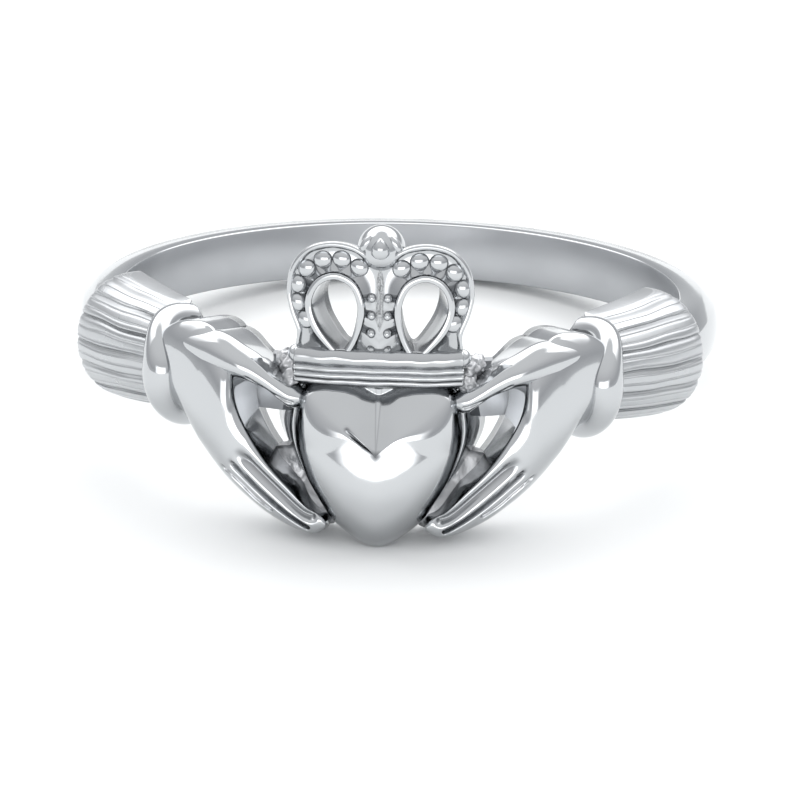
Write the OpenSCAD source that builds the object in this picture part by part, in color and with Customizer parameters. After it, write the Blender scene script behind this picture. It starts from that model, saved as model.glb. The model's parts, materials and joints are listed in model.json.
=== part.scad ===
// Claddagh ring: one casting, lying on its side as it rests on a table.
// Millimetres. The head faces -Y, +Z is up, and the floor is Z = 0.

/* [Finger and band] */
// Inside diameter of the finger hole
finger_diameter = 17.3; // [14.5:0.1:22]
// Width of the band along the finger
band_width = 1.73; // [1.3:0.05:2.4]
// Wall of the band at the crest of its domed outside
band_crest = 1.25; // [1:0.05:1.6]
// Wall of the band at its two edges
band_edge = 0.89; // [0.6:0.05:0.95]

/* [Head] */
// Height of the head along the finger, from the heart's tip to the top of the ball
head_height = 10; // [8.5:0.1:12]

/* [Heart] */
// Width of the heart
heart_width = 5.55; // [4.6:0.05:6.2]
// How far the heart's edge stands off the finger
heart_edge = 1.5; // [1.2:0.05:1.8]
// How far the heart's dome rises above its edge
heart_rise = 1.25; // [0.7:0.05:1.6]
// How steeply the cleft falls back from its end towards the crown
cleft_slope = 0.65; // [0.3:0.05:0.8]
// How much fuller the lobes are than the heart's lower part
lobe_fullness = 2.7; // [0:0.1:3.5]

/* [Crown] */
// Width of the crown
crown_width = 5.8; // [5:0.05:6.4]
// Thickness of the crown's plate, measured out from the finger
crown_depth = 1.8; // [1.4:0.05:2.2]
// Height of the rims and the outer edge above the plate
crown_relief = 0.2; // [0.1:0.02:0.3]
// Width of the flat rim round each piercing
rim_width = 0.22; // [0.14:0.02:0.3]
// Radius of the beads along the arches
arch_bead = 0.24; // [0.12:0.01:0.28]
// Number of beads on each arch
arch_beads = 7; // [4:1:9]
// Radius of the beads on the middle column
column_bead = 0.16; // [0.1:0.01:0.2]
// Radius of the ball on top
ball_radius = 0.72; // [0.5:0.01:0.85]

/* [Crown foot] */
// Radius of the round ledge under the arches
ledge_radius = 0.28; // [0.15:0.01:0.34]
// Radius of the fine ridges under the ledge
ridge_radius = 0.13; // [0.08:0.01:0.16]

/* [Hands] */
// Height of the back of the hand above the finger
hand_depth = 2.6; // [2.1:0.05:3]
// Depth of the grooves between the fingers
finger_groove = 0.3; // [0.1:0.02:0.4]
// Angle from the middle of the head to the middle of the wrist's roll
wrist_angle = 39.4; // [37:0.2:42]
// Radius of the roll round each wrist
roll_radius = 0.6; // [0.46:0.02:0.7]
// Height of that roll along the finger
roll_height = 3.9; // [3.4:0.05:4.2]

/* [Cuffs] */
// Angle from the middle of the head to the far end of a cuff
cuff_angle = 65; // [58:1:72]
// Wall of a cuff at its crest
cuff_depth = 2.1; // [1.7:0.05:2.6]
// Height of a cuff along the finger, at its far end
cuff_height = 3.9; // [3.2:0.05:4.4]
// Number of ribs on a cuff
cuff_ribs = 8; // [5:1:10]
// Depth of the grooves between the ribs
rib_depth = 0.14; // [0.05:0.01:0.2]

/* [Hidden] */
$fn = 48;
bore = finger_diameter / 2;
// The radius on which lengths along the head are measured
ref = bore * 1.231;
// How far the head's blanks reach inside the finger hole before it is cut
under = band_edge / 2;
// The head is cut a hair wider than the finger hole, so the band alone is its wall
head_clear = band_edge / 45;
// The heart's tip and the ball's top
tip_low = -0.463 * head_height;
ball_top = 0.537 * head_height;
// The wrist's roll along the head, and the middle of the hands and cuffs along the finger
wrist = wrist_angle * PI / 180 * ref;
mid = 0.02 * head_height;
// The ring rests on the heart's tip and the back of the band
tilt = atan2(-tip_low - band_width / 2, bore + heart_edge + bore + band_edge);
front = (bore + heart_edge + heart_rise) * cos(tilt) + 0.16 * head_height * sin(tilt);
back = (bore + band_crest) * cos(tilt);
floor_drop = band_width / 2 + (bore + band_edge) * tan(tilt);

// A point on the head: s along it from the middle, z along the finger, d out from the finger
function at(s, z, d) = let (a = s / ref * 180 / PI) [(bore + d) * sin(a), -(bore + d) * cos(a), z];
function middle(p) = [for (k = [0:len(p[0]) - 1]) [for (q = p) q[k]] * [for (q = p) 1] / len(p)];
function bend(a, b, c, d, t) = (2 * b + (c - a) * t + (2 * a - 5 * b + 4 * c - d) * t * t
    + (3 * b - a - 3 * c + d) * t * t * t) / 2;
// A smooth closed line through the points
function around(p, n) = let (m = len(p)) [for (i = [0:m - 1], k = [0:n - 1])
    bend(p[(i + m - 1) % m], p[i], p[(i + 1) % m], p[(i + 2) % m], k / n)];
// A smooth open line through the points
function along(p, n) = let (m = len(p)) [for (i = [0:m - 2], k = [0:n - 1])
    bend(p[max(i - 1, 0)], p[i], p[i + 1], p[min(i + 2, m - 1)], k / n), p[m - 1]];
// Pushes the points of a closed line away from its middle
function grown(p, w) = let (c = middle(p)) [for (q = p) q + (q - c) * w / norm(q - c)];

// The unit vector across an open line at its point i
function across(p, i) = let (d = p[min(i + 1, len(p) - 1)] - p[max(i - 1, 0)]) [-d[1], d[0]] / norm(d);

// A closed solid through rings of equally many points
module loft(rings) {
    n = len(rings[0]);
    m = len(rings);
    skin = [for (i = [0:m - 2], j = [0:n - 1]) let (a = i * n + j, b = i * n + (j + 1) % n)
        each [[a, b, b + n], [a, b + n, a + n]]];
    start = [for (j = [0:n - 1]) [m * n, (j + 1) % n, j]];
    end = [for (j = [0:n - 1]) [m * n + 1, (m - 1) * n + j, (m - 1) * n + (j + 1) % n]];
    points = concat([for (r = rings) each r], [middle(rings[0]), middle(rings[m - 1])]);
    polyhedron(points, concat(skin, start, end), convexity = 6);
}

// A flat outline raised from d0 to d1
module slab(outline, d0, d1) {
    loft([for (d = [d0, d1]) [for (p = outline) at(p[0], p[1], d)]]);
}

// A round bar that follows the head, from -half to half
module bar(z, d, r, half) {
    a = half / ref * 180 / PI;
    rotate([0, 0, -90 - a]) rotate_extrude(angle = 2 * a, $fn = 110)
        translate([bore + d, z]) circle(r = r, $fn = 8);
}

module both() {
    children();
    mirror([1, 0, 0]) children();
}

// A table of shares of a width across and of the head's height along the finger, as lengths
function sized(table, width) = [for (p = table) [p[0] * width, p[1] * head_height]];

// Heart
heart_half = sized([[0, 0.028], [0.153, 0.056], [0.306, 0.058], [0.423, 0.035], [0.476, -0.02],
    [0.5, -0.095], [0.483, -0.16], [0.425, -0.24], [0.339, -0.32], [0.259, -0.38], [0.177, -0.418],
    [0.09, -0.45], [0, -0.463]], heart_width);
heart_line = around(concat(heart_half,
    [for (i = [len(heart_half) - 2:-1:1]) [-heart_half[i][0], heart_half[i][1]]]), 2);
heart_top = [0, -0.155 * head_height];

// The dome is fuller above its top, and the cleft is a plane on either side of the middle
function dome(q, k) = let (full = lobe_fullness * max(0, q[1] - heart_top[1]) / -heart_top[1])
    heart_rise * pow(1 - pow(k, 2.3 + full), 0.6);
function cleft(q) = heart_rise - cleft_slope * (q[1] - 0.98 * heart_top[1] - 0.77 * abs(q[0]));
function heart_ring(k) = [for (p = heart_line) let (q = heart_top + (p - heart_top) * k)
    at(q[0], q[1], heart_edge + min(dome(q, k), cleft(q)))];

module heart() {
    z = -0.1 * head_height;
    root = [for (p = heart_line) at(p[0] * 1.42, z + (p[1] - z) * 0.86, -under)];
    loft(concat([root], [for (k = [1, 0.97, 0.9, 0.78, 0.62, 0.42, 0.2, 0.05]) heart_ring(k)]));
}

// Crown
arch_line = around(sized([[-0.02, 0.135], [-0.02, 0.26], [-0.02, 0.37], [0.02, 0.43], [0.12, 0.478],
    [0.25, 0.492], [0.38, 0.472], [0.47, 0.415], [0.5, 0.34], [0.48, 0.27], [0.44, 0.21], [0.4, 0.13]],
    crown_width), 2);
hole_line = around(sized([[0.238, 0.374], [0.321, 0.352], [0.359, 0.3], [0.336, 0.242], [0.272, 0.188],
    [0.2, 0.15], [0.152, 0.185], [0.124, 0.242], [0.117, 0.298], [0.155, 0.352]], crown_width), 2);
edge_line = along(sized([[0.03, 0.425], [0.12, 0.468], [0.25, 0.482], [0.37, 0.462], [0.45, 0.41],
    [0.48, 0.34], [0.46, 0.27], [0.42, 0.21], [0.4, 0.15]], crown_width), 1);
function arch_at(a) = [(0.24 + 0.21 * sin(a)) * crown_width, (0.32 + 0.118 * cos(a)) * head_height];

module arch() {
    foot = 0.12 * head_height;
    difference() {
        union() {
            loft([[for (p = arch_line) at(p[0] * 0.95, foot + (p[1] - foot) * 0.84, -under)],
                [for (p = arch_line) at(p[0], p[1], crown_depth)]]);
            slab(grown(hole_line, rim_width), crown_depth / 6, crown_depth + crown_relief);
            loft([for (i = [0:len(edge_line) - 1]) let (w = across(edge_line, i) * crown_relief / 2)
                [for (k = [[-1, 1], [1, 1], [1, -0.5], [-1, -0.5]]) let (q = edge_line[i] + w * k[0])
                    at(q[0], q[1], crown_depth + crown_relief * k[1])]]);
            for (i = [0:arch_beads - 1]) let (p = arch_at(-38 + i * 170 / (arch_beads - 1)))
                translate(at(p[0], p[1], crown_depth)) sphere(r = arch_bead, $fn = 8);
        }
        slab(hole_line, -bore / 8, crown_depth * 1.5);
    }
}

module crown() {
    both() arch();
    for (i = [0:3]) both() translate(at(0.042 * crown_width, (0.155 + 0.055 * i) * head_height, crown_depth))
        sphere(r = column_bead, $fn = 8);
    translate(at(0, ball_top - ball_radius, 0.78 * crown_depth)) sphere(r = ball_radius, $fn = 16);
    // A pointed tongue runs down from the ball
    loft([for (k = [1, 0.5, 0]) [for (a = [0:45:359]) at((0.58 - 0.5 * k) * ball_radius * cos(a),
        (0.45 - 0.06 * k) * head_height, crown_depth + ball_radius / 3 * sin(a))]]);
}

module crown_foot() {
    half = 0.463 * heart_width;
    a = half / ref * 180 / PI;
    rotate([0, 0, -90 - a]) rotate_extrude(angle = 2 * a, $fn = 110)
        translate([bore - under, 0.01 * head_height]) square([crown_depth + under, 0.12 * head_height]);
    bar(0.13 * head_height, crown_depth + ledge_radius / 4, ledge_radius, half);
    both() translate(at(half, 0.136 * head_height, crown_depth)) sphere(r = ledge_radius, $fn = 10);
    for (i = [0:2])
        bar((0.096 - 0.021 * i) * head_height, crown_depth + 1.5 * ridge_radius, ridge_radius, 0.96 * half);
}

// Hands. Along the head, their tables run from 0 at the heart's side to 1 at the wrist.
function reach(t) = heart_width / 2 + t * (wrist - heart_width / 2);
function reached(table) = [for (p = table) [reach(p[0]), p[1] * head_height]];

// Each section's lower side, upper side and share of the hand's depth, and how the upper wall leans
palm_line = along([[1, -0.09, 1.04, 0.14, 0.82, 0, 0.02], [0.84, -0.12, 0.84, 0.182, 0.87, 0, 0.02],
    [0.69, -0.2, 0.6, 0.182, 0.94, 0, 0.03], [0.55, -0.265, 0.41, 0.09, 1, 0.02, 0.05],
    [0.43, -0.31, 0.35, -0.04, 0.97, 0.07, 0.03], [0.29, -0.355, 0.25, -0.132, 0.92, 0.07, 0.02],
    [0.16, -0.39, 0.12, -0.22, 0.87, 0.02, 0.01], [0.02, -0.418, -0.01, -0.285, 0.82, -0.04, 0.01],
    [-0.1, -0.434, -0.14, -0.347, 0.78, -0.07, 0.01], [-0.19, -0.434, -0.23, -0.367, 0.75, -0.07, 0.01],
    [-0.26, -0.415, -0.27, -0.385, 0.72, -0.04, 0.01]], 2);
thumb_line = along([[0.69, 0.03, 0.62, 0.182, 0.94, 0, 0.02], [0.48, 0.03, 0.46, 0.163, 0.95, 0, 0.035],
    [0.33, 0.027, 0.33, 0.138, 0.93, 0, 0.055], [0.24, 0.016, 0.24, 0.118, 0.9, 0, 0.065],
    [0.15, 0, 0.15, 0.09, 0.88, 0, 0.07], [0.06, -0.027, 0.06, 0.063, 0.86, 0, 0.072],
    [-0.01, -0.047, -0.03, 0.041, 0.85, 0, 0.07], [-0.08, -0.03, -0.09, 0.022, 0.8, 0, 0.065]], 2);
// Grooves between the fingers, with the height of the hand's back there as a share of its depth
grooves = [[[0.33, -0.17, 0.94], [0.09, -0.275, 0.86], [-0.09, -0.35, 0.78], [-0.17, -0.369, 0.74]],
    [[0.38, -0.21, 0.94], [0.24, -0.27, 0.87], [0.03, -0.355, 0.76], [-0.14, -0.407, 0.66]],
    [[0.47, -0.23, 0.9], [0.35, -0.272, 0.83], [0.22, -0.327, 0.74], [0.11, -0.359, 0.7]]];
// The rough web at the fingertips
web_line = reached([[0.3, -0.215], [0.12, -0.33], [-0.08, -0.4], [-0.32, -0.39], [-0.1, -0.2]]);

// crest is where the back of the finger is highest, from its upper side at 0 to its lower side at 1
function finger_ring(e, crest, sharp, drop) = let (low = [reach(e[0]), e[1] * head_height],
        high = [reach(e[2]), e[3] * head_height], half = hand_depth / 2, top = hand_depth * e[4],
        side = top * sharp + half * (1 - sharp))
    concat([at(reach(e[2] + e[5]), high[1] - e[6] * head_height, -under)],
        [for (i = [0:8]) let (v = i / 8, p = high * (1 - v) + low * v)
            at(p[0], p[1], v < crest ? side + (top - side) * pow(1 - pow(1 - v / crest, 2.2), 0.55)
                : half + (top - half) * pow(1 - pow((v - crest) / (1 - crest), 2.2), 0.55))],
        [at(low[0], low[1] + min(drop * head_height, (high[1] - low[1]) / 3), -under)]);

module hand() {
    difference() {
        loft([for (e = palm_line) let (k = min(max((0.58 - e[2]) / 0.31, 0), 1))
            finger_ring(e, 0.5 - 0.25 * k, 0.45 + 0.4 * k, 0.042)]);
        for (g = grooves)
            let (line = along([for (p = g) [reach(p[0]), p[1] * head_height, p[2] * hand_depth]], 2))
            loft([for (i = [0:len(line) - 1]) let (q = line[i], w = across(line, i) * finger_groove / 2)
                [at(q[0], q[1], q[2] - finger_groove), at(q[0] - w[0], q[1] - w[1], q[2] + 0.2 * hand_depth),
                at(q[0] + w[0], q[1] + w[1], q[2] + 0.2 * hand_depth)]]);
    }
    loft([for (e = thumb_line) finger_ring(e, 0.5, 0.45, -0.065)]);
    slab(web_line, -under, 0.3 * hand_depth);
}

// Along the head, a roll leans away from the fingers towards its top
function roll_at(up) = wrist + 0.11 * wrist * pow(max(up, 0), 2);

module wrist_roll() {
    ring_half = roll_height / 2 - roll_radius;
    d = hand_depth / 4;
    closed([for (f = [0:15:359]) [for (a = [0:36:359]) let (slim = roll_radius * (1 - 0.2 * max(sin(f), 0)),
        r = slim * cos(a))
        at(roll_at(sin(f)) - slim * sin(a), mid + (ring_half * (1 - 0.1 * max(sin(f), 0)) + r) * sin(f),
            d + (2 * d + r) * cos(f))]]);
    // Fills the roll's middle
    slab([for (k = [[-1, -1], [-1, 1], [1, 1], [1, -1]])
        [wrist + 0.7 * roll_radius * k[0], mid + 0.8 * ring_half * k[1]]], -under, 0.56 * hand_depth);
}

// A closed tube through rings that come back to the first one
module closed(rings) {
    n = len(rings[0]);
    m = len(rings);
    skin = [for (i = [0:m - 1], j = [0:n - 1])
        let (a = i * n + j, b = i * n + (j + 1) % n, c = (i + 1) % m * n + (j + 1) % n,
            d = (i + 1) % m * n + j)
        each [[a, b, c], [a, c, d]]];
    polyhedron([for (r = rings) each r], skin, convexity = 6);
}

// Cuffs
function rib(t) = rib_depth * (1 - abs(sin(cuff_ribs * (t + 90))));
function cuff_ring(s, k, c, lean) = let (n = cuff_ribs * 4, half = k * cuff_height / 2)
    concat([at(s, c - half, -under)],
        [for (i = [0:n]) let (t = -90 + 180 * i / n)
            at(s + lean * (roll_at(sin(t)) - wrist), c + half * sin(t),
                k * cuff_depth * pow(max(cos(t), 0), 0.8) - rib(t) * cos(t))],
        [at(s + lean * (roll_at(1) - wrist), c + half, -under)]);

module cuff() {
    far = cuff_angle * PI / 180 * ref;
    // Along the cuff from the roll, its size there, and its middle as a share of mid
    loft([for (e = [[0, 0.82, 1.6], [0.3, 0.9, 1.4], [0.7, 0.98, 1.2], [0.92, 1, 1.1], [0.98, 0.93, 1.1],
        [1, 0.8, 1.1]])
        cuff_ring(wrist + (far - wrist) * e[0], e[1], mid * e[2], 1 - e[0])]);
}

module head() {
    resize([0, 0, head_height]) difference() {
        union() {
            heart();
            crown();
            crown_foot();
            both() {
                hand();
                wrist_roll();
                cuff();
            }
        }
        // Turned a little, so its flats start clear of the cuffs' ends and of the middle
        rotate([0, 0, 0.6]) translate([0, 0, -head_height])
            cylinder(r = bore + head_clear, h = 2 * head_height, $fn = 180);
    }
}

// Domed outside, flat sides, straight finger hole
module band() {
    rise = band_crest - band_edge;
    dome = (band_width * band_width / 4 + rise * rise) / (2 * rise);
    rotate([0, 0, -40]) rotate_extrude(angle = 260) intersection() {
        translate([bore + band_crest - dome, 0]) circle(r = dome);
        translate([bore, -band_width / 2]) square([band_crest, band_width]);
    }
}

// The thin strip of band that runs on behind the head
module strip() {
    rotate_extrude() translate([bore, -band_width / 2]) square([band_edge / 2, band_width]);
}

module ring() {
    color("silver") translate([0, (front - back) / 2, floor_drop * cos(tilt)]) rotate([-tilt, 0, 0]) {
        band();
        strip();
        head();
    }
}

ring();
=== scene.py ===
"""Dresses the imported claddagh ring: polished silver hands, heart and crown on a domed band."""

import json
import math
from collections import namedtuple
from types import SimpleNamespace

import bmesh
import bpy
from bpy.props import FloatProperty, FloatVectorProperty, IntProperty, PointerProperty
from mathutils import Matrix, Vector, noise


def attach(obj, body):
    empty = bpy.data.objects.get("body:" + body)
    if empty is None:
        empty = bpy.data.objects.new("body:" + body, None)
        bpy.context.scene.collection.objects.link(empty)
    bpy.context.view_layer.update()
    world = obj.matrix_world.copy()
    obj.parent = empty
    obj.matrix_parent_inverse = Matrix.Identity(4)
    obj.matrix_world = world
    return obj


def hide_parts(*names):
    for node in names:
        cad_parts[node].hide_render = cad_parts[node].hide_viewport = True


bl_info = {
    "name": "Claddagh Ring",
    "version": (1, 0, 0),
    "blender": (4, 5, 0),
    "location": "View3D > Sidebar > Ring",
    "description": "Builds a silver claddagh ring piece by piece over its solid model",
    "category": "Object",
}

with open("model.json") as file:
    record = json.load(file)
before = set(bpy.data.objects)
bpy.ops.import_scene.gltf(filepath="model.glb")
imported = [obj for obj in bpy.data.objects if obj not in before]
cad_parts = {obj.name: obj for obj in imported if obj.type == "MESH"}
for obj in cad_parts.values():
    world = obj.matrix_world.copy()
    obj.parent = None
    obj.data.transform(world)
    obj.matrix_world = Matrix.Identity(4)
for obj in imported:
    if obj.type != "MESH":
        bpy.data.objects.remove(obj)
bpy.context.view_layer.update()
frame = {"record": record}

# The finger hole says where the ring lies and how it leans. Pieces are made in millimetres in the
# ring's own frame: Z along the finger, the head towards -Y, the band's middle at Z = 0.
HOLE = next(m for m in frame["record"]["mounts"] if m["name"] == "finger_bore")
BORE = HOLE["dims"]["r_mm"]
# Lengths along the head are measured on a cylinder of this radius, about halfway out
HEAD_RADIUS = BORE * 1.231
LEAN = math.asin(HOLE["axis"][1])
TO_TABLE = Matrix.Translation(HOLE["pos_m"]) @ Matrix.Rotation(-LEAN, 4, "X") @ Matrix.Scale(0.001, 4)
SIDES = {"left": -1, "right": 1}


# Places on the ring


def spot(s, z, d):
    """The point s along the head, z along the finger and d out from the finger hole."""
    turn = s / HEAD_RADIUS
    return Vector(((BORE + d) * math.sin(turn), -(BORE + d) * math.cos(turn), z))


def place_of(co):
    """s, z and d of a point."""
    return math.atan2(co.x, -co.y) * HEAD_RADIUS, co.z, math.hypot(co.x, co.y) - BORE


def soft_step(low, high, x):
    """From 0 at low to 1 at high, level at both ends."""
    t = min(max((x - low) / (high - low), 0.0), 1.0)
    return t * t * (3 - 2 * t)


def soft_min(a, b, r):
    """The smaller of two heights, blended over r."""
    x = min(max(0.5 + 0.5 * (b - a) / r, 0.0), 1.0)
    return b * (1 - x) + a * x - r * x * (1 - x)


def hump(x, width):
    """1 at x = 0, falling to nothing beyond the width."""
    return math.exp(-(x / width) ** 2)


def grain(co, size, seed=0.0):
    """Smooth noise from -1 to 1 with features of that size in millimetres."""
    return noise.noise(Vector((co[0], co[1], co[2])) / size + Vector((seed, seed * 1.7, -seed)))


# Lines


def bent(a, b, c, d, t):
    """A place between b and c on the smooth line through a, b, c and d."""
    return tuple((2 * q + (r - p) * t + (2 * p - 5 * q + 4 * r - w) * t * t
                  + (3 * q - p - 3 * r + w) * t ** 3) / 2 for p, q, r, w in zip(a, b, c, d))


def closed_line(points, steps):
    """A smooth closed line through the points."""
    n = len(points)
    return [bent(points[i - 1], points[i], points[(i + 1) % n], points[(i + 2) % n], k / steps)
            for i in range(n) for k in range(steps)]


def open_line(points, steps):
    """A smooth open line through the points."""
    last = len(points) - 1
    line = [bent(points[max(i - 1, 0)], points[i], points[i + 1], points[min(i + 2, last)], k / steps)
            for i in range(last) for k in range(steps)]
    return line + [tuple(points[-1])]


def off_line(line, s, z):
    """How far (s, z) lies from a line, and how far along it, from 0 to 1, the nearest place is."""
    best, along = 1e9, 0.0
    for i in range(len(line) - 1):
        (a, b), (c, d) = line[i], line[i + 1]
        u, v = c - a, d - b
        t = min(max(((s - a) * u + (z - b) * v) / (u * u + v * v + 1e-12), 0.0), 1.0)
        gap = math.hypot(s - a - u * t, z - b - v * t)
        if gap < best:
            best, along = gap, (i + t) / (len(line) - 1)
    return best, along


def ray(line, centre, turn):
    """How far a closed line lies from a centre in that direction."""
    u, v = math.cos(turn), math.sin(turn)
    best = 0.0
    for (a, b), (c, d) in zip(line, line[1:] + line[:1]):
        ex, ez = c - a, d - b
        det = ex * v - ez * u
        if abs(det) < 1e-12:
            continue
        t = ((centre[0] - a) * v - (centre[1] - b) * u) / det
        r = ((centre[0] - a) * ez - (centre[1] - b) * ex) / det
        if -1e-6 <= t <= 1 + 1e-6 and r > best:
            best = r
    return best


def between(a, b, k):
    """The place a share k of the way from a to b."""
    return tuple(p + (q - p) * k for p, q in zip(a, b))


# Meshes


def first_ring(bm, points):
    """A closed ring of edges through the points."""
    ring = bmesh.ops.create_circle(bm, segments=len(points), radius=1.0)["verts"]
    for v, p in zip(ring, points):
        v.co = p
    return ring


def loop_edges(ring):
    """The edges of a ring of vertices."""
    return [next(e for e in v.link_edges if e.other_vert(v) == ring[i - 1]) for i, v in enumerate(ring)]


def next_ring(bm, ring, points):
    """Extrudes a ring of edges and puts the new one through the points."""
    made = bmesh.ops.extrude_edge_only(bm, edges=loop_edges(ring))["geom"]
    new = {g for g in made if isinstance(g, bmesh.types.BMVert)}
    ring = [next(e.other_vert(v) for e in v.link_edges if e.other_vert(v) in new) for v in ring]
    for v, p in zip(ring, points):
        v.co = p
    return ring


def close_end(bm, ring, point):
    """Closes a ring with a fan round the point."""
    face = bmesh.ops.contextual_create(bm, geom=loop_edges(ring))["faces"]
    bmesh.ops.poke(bm, faces=face)["verts"][0].co = point


def middle(points):
    return sum((Vector(p) for p in points), Vector()) / len(points)


def loft(rings, ends=None):
    """A closed skin through rings of equally many points. With ends=None both ends close at their middles."""
    bm = bmesh.new()
    start = ring = first_ring(bm, rings[0])
    for points in rings[1:]:
        ring = next_ring(bm, ring, points)
    if ends == "joined":
        bmesh.ops.bridge_loops(bm, edges=loop_edges(start) + loop_edges(ring))
    else:
        close_end(bm, start, middle(rings[0]) if ends is None else ends[0])
        close_end(bm, ring, middle(rings[-1]) if ends is None else ends[1])
    return bm


def spun(profile, start, turn, steps):
    """A closed profile of (d, z) points, spun round the finger hole and closed at both ends."""
    bm = bmesh.new()
    verts = [bm.verts.new((BORE + d, 0, z)) for d, z in profile]
    edges = [bm.edges.new((verts[i - 1], verts[i])) for i in range(len(verts))]
    bmesh.ops.rotate(bm, verts=verts, cent=(0, 0, 0), matrix=Matrix.Rotation(start, 3, "Z"))
    last = bmesh.ops.spin(bm, geom=verts + edges, cent=(0, 0, 0), axis=(0, 0, 1), angle=turn, steps=steps,
                          use_merge=False)["geom_last"]
    bmesh.ops.contextual_create(bm, geom=edges)
    bmesh.ops.contextual_create(bm, geom=[g for g in last if isinstance(g, bmesh.types.BMEdge)])
    return bm


def bead(centre, radii, turn=0.0, segments=20):
    """An oval bead that sits on the head, its axes along s, z and out."""
    bm = bmesh.new()
    bmesh.ops.create_uvsphere(bm, u_segments=segments, v_segments=segments // 2, radius=1.0)
    s, z, d = centre
    out = spot(s, 0, d).normalized()
    side = Vector((math.cos(s / HEAD_RADIUS), math.sin(s / HEAD_RADIUS), 0))
    axes = Matrix((side, Vector((0, 0, 1)), out)).transposed().to_4x4()
    size = Matrix.Diagonal((*radii, 1.0))
    place = Matrix.Translation(spot(s, z, d)) @ axes @ Matrix.Rotation(turn, 4, "Z") @ size
    bmesh.ops.transform(bm, matrix=place, verts=bm.verts)
    return bm


def shape(bm, move):
    """Moves each vertex to move(s, z, d)."""
    for v in bm.verts:
        v.co = spot(*move(*place_of(v.co)))


def mesh_of(bm, name):
    """Turns a bmesh into a mesh."""
    mesh = bpy.data.meshes.new(name)
    bm.to_mesh(mesh)
    bm.free()
    return mesh


def placed(name, data):
    """Puts a mesh or a camera into the scene."""
    thing = bpy.data.objects.new(name, data)
    bpy.context.scene.collection.objects.link(thing)
    return thing


def joined(parts):
    """One bmesh from several."""
    whole = bmesh.new()
    for bm in parts:
        mesh = mesh_of(bm, "part")
        whole.from_mesh(mesh)
        bpy.data.meshes.remove(mesh)
    return whole


def keep(bm, name, material, painted_shade_and_tone=None, smooth=True):
    """Makes a piece of the ring from a bmesh, and stores at each vertex how much of the darker colour its
    silver takes: painted shade on the polished pieces, the as-cast tone on the webs.
    """
    bmesh.ops.recalc_face_normals(bm, faces=bm.faces)
    # This attribute carries painted shade, and on the webs their even as-cast tone
    layer = bm.verts.layers.float.new("painted_shade_and_tone")
    for v in bm.verts:
        v[layer] = painted_shade_and_tone(*place_of(v.co)) if painted_shade_and_tone else 0.0
    for f in bm.faces:
        f.smooth = smooth
    bmesh.ops.transform(bm, matrix=TO_TABLE, verts=bm.verts)
    mesh = mesh_of(bm, name)
    mesh.materials.append(material)
    piece = placed(name, mesh)
    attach(piece, "root")
    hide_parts("ring")
    return piece


# Sizes and colours


def linear(code):
    """An sRGB hex colour as linear RGBA."""
    parts = [int(code[i:i + 2], 16) / 255 for i in (1, 3, 5)]
    return tuple(c / 12.92 if c <= 0.04045 else ((c + 0.055) / 1.055) ** 2.4 for c in parts) + (1.0,)


def length(name, about, mm):
    """A length that the user can change, in metres as all of Blender's lengths are."""
    return FloatProperty(name=name, description=about, default=mm / 1000, min=0, precision=5, unit="LENGTH")


def angle(name, about, degrees):
    return FloatProperty(name=name, description=about, default=math.radians(degrees), subtype="ANGLE")


def colour(name, about, code):
    return FloatVectorProperty(name=name, description=about, default=linear(code), size=4, min=0, max=1,
                               subtype="COLOR")


class RingBuild(bpy.types.PropertyGroup):
    """The ring's sizes, as its solid model has them, and its colours"""

    band_width: length("Band width", "Width of the band along the finger", 1.73)
    band_crest: length("Band crest", "Wall of the band at its crest", 1.25)
    band_edge: length("Band edge", "Wall of the band at its edges", 0.89)
    edge_round: length("Edge rounding", "Rounding of the band's outer edges", 0.22)
    head_height: length("Head height", "From the heart's tip to the ball's top", 10.0)
    heart_width: length("Heart width", "Width of the heart", 5.55)
    heart_edge: length("Heart edge", "How far out the heart's edge stands", 1.5)
    heart_rise: length("Heart rise", "Rise of the heart's dome over its edge", 1.25)
    cleft_slope: FloatProperty(name="Cleft slope", description="How steeply the cleft's faces lean back",
                               default=0.65, min=0)
    lobe_fullness: FloatProperty(name="Lobe fullness", description="How full the lobes are", default=2.7,
                                 min=0)
    crown_width: length("Crown width", "Width of the crown", 5.8)
    crown_depth: length("Crown depth", "Thickness of the crown's plate", 1.8)
    crown_relief: length("Crown relief", "Height of the crown's rims over its plate", 0.2)
    rim_width: length("Rim width", "Width of the rim round a piercing", 0.22)
    arch_beads: IntProperty(name="Arch beads", description="Beads on each arch", default=7, min=3, max=12)
    ball_radius: length("Ball radius", "Radius of the ball on top", 0.72)
    hand_depth: length("Hand depth", "Height of the back of the hand", 2.6)
    finger_groove: length("Finger groove", "Depth of the grooves between the fingers", 0.3)
    wrist_angle: angle("Wrist", "Angle round the finger from the heart to a wrist", 39.4)
    roll_radius: length("Roll radius", "Radius of the wrist roll", 0.6)
    roll_height: length("Roll height", "Height of the wrist roll along the finger", 3.9)
    cuff_angle: angle("Cuff end", "Angle round the finger from the heart to a cuff's far end", 65.0)
    cuff_depth: length("Cuff depth", "Wall of a cuff at its crest", 2.1)
    cuff_height: length("Cuff height", "Height of a cuff along the finger", 3.9)
    cuff_ribs: IntProperty(name="Cuff ribs", description="Pleats on each cuff", default=8, min=4, max=12)
    silver: colour("Silver", "Colour of the polished silver", "#BEC0C2")
    # The colour mixed in where shade is painted into hollows, creases and grooves
    painted_shade_and_tone: colour("Recess", "Colour of the silver in deep recesses", "#626467")
    floor: colour("Floor", "Colour of the card the ring lies on", "#F3F4F4")
    light: FloatProperty(name="Light", description="Strength of the two soft lamps", default=1.0, min=0)


def sizes(context):
    """What RingBuild holds, with its lengths in millimetres."""
    build, values = context.scene.ring_build, {}
    for name, prop in RingBuild.__annotations__.items():
        value = getattr(build, name)
        if prop.keywords.get("unit") == "LENGTH":
            value *= 1000
        values[name] = value
    return SimpleNamespace(**values)


# Finishes


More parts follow.
